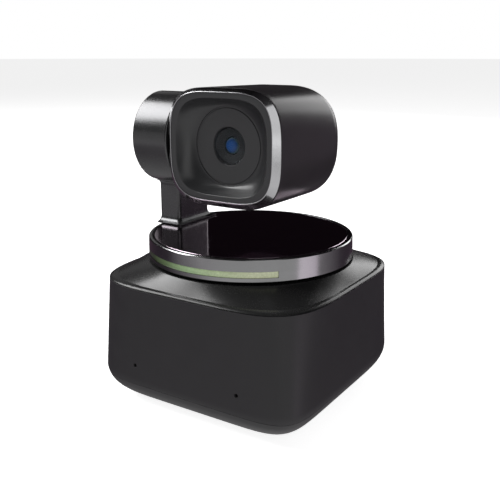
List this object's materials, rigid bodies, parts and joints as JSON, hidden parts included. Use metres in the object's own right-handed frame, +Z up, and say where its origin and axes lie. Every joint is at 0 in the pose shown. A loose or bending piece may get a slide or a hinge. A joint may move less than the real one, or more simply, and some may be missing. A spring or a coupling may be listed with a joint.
{
  "type": "pan-tilt camera",
  "caption": "Desktop pan-tilt camera: rounded square base with pinhole microphones, turntable with a light bar, side arm with tilt motor housing, and a rounded square camera head.",
  "frame": {"origin": "centre of the underside, on the pan axis", "axes": "+Z up along the pan axis; the lens faces -Y at rest; the arm stands on the -X side"},
  "size_m": [0.0484, 0.0484, 0.0632],
  "materials": {
    "base_matte": "fine matte dark grey",
    "cover_gloss": "piano black",
    "rubber": "matte black",
    "nickel_brass": "nickel plated",
    "steel": "machined",
    "aluminium": "satin",
    "board": "solder mask",
    "winding": "enamelled wire",
    "turntable_gloss": "polished black",
    "deck_gloss": "polished black",
    "light_bar": "translucent green to pale yellow",
    "arm_satin": "dark anodised satin",
    "head_gloss": "dark metallic gloss",
    "bezel_gloss": "polished dark",
    "panel_matte": "matte dark grey",
    "window_glass": "clear coated",
    "coated_glass": "blue coated",
    "barrel_black": "matte black",
    "chip": "black"
  },
  "bodies": {
    "base": {"base_shell": "base_matte", "base_tray": "base_matte", "base_top_cover": "cover_gloss", "foot_pad": "rubber", "tripod_nut": "nickel_brass", "tray_screw_1": "steel", "tray_screw_2": "steel", "tray_screw_3": "steel", "tray_screw_4": "steel", "inner_frame": "aluminium", "main_board": "board", "processor_shield": "steel", "usb_c_socket": "steel", "mic_capsule_left": "aluminium", "mic_capsule_right": "aluminium", "pan_bearing_outer": "steel", "pan_motor_stator": "winding", "pan_stator_hub": "aluminium"},
    "turntable": {"turntable_skirt": "turntable_gloss", "turntable_deck": "deck_gloss", "led_light_bar": "light_bar", "led_board": "board", "pan_shaft": "aluminium", "pan_motor_rotor": "steel", "pan_bearing_inner": "steel", "arm_housing": "arm_satin", "arm_screw_1": "steel", "arm_screw_2": "steel", "tilt_housing_cap": "arm_satin", "tilt_motor_stator": "winding", "tilt_bearing_outer": "steel"},
    "head": {"tilt_shaft": "steel", "tilt_motor_rotor": "steel", "tilt_bearing_inner": "steel", "tilt_hub_flange": "aluminium", "head_shell": "head_gloss", "front_bezel": "bezel_gloss", "front_panel": "panel_matte", "lens_window": "window_glass", "lens_barrel": "barrel_black", "front_lens": "coated_glass", "rear_lens": "window_glass", "lens_holder": "barrel_black", "image_sensor": "chip", "sensor_board": "board", "sensor_heat_sink": "aluminium"}
  },
  "joints": [
    {"name": "pan", "type": "hinge", "parent": "base", "child": "turntable", "pos_m": [0, 0, 0.0289], "axis": [0, 0, 1], "range_deg": [-140, 140]},
    {"name": "tilt", "type": "hinge", "parent": "turntable", "child": "head", "pos_m": [-0.0129, -0.0017, 0.0522], "axis": [-1, 0, 0], "range_deg": [-90, 40]}
  ]
}
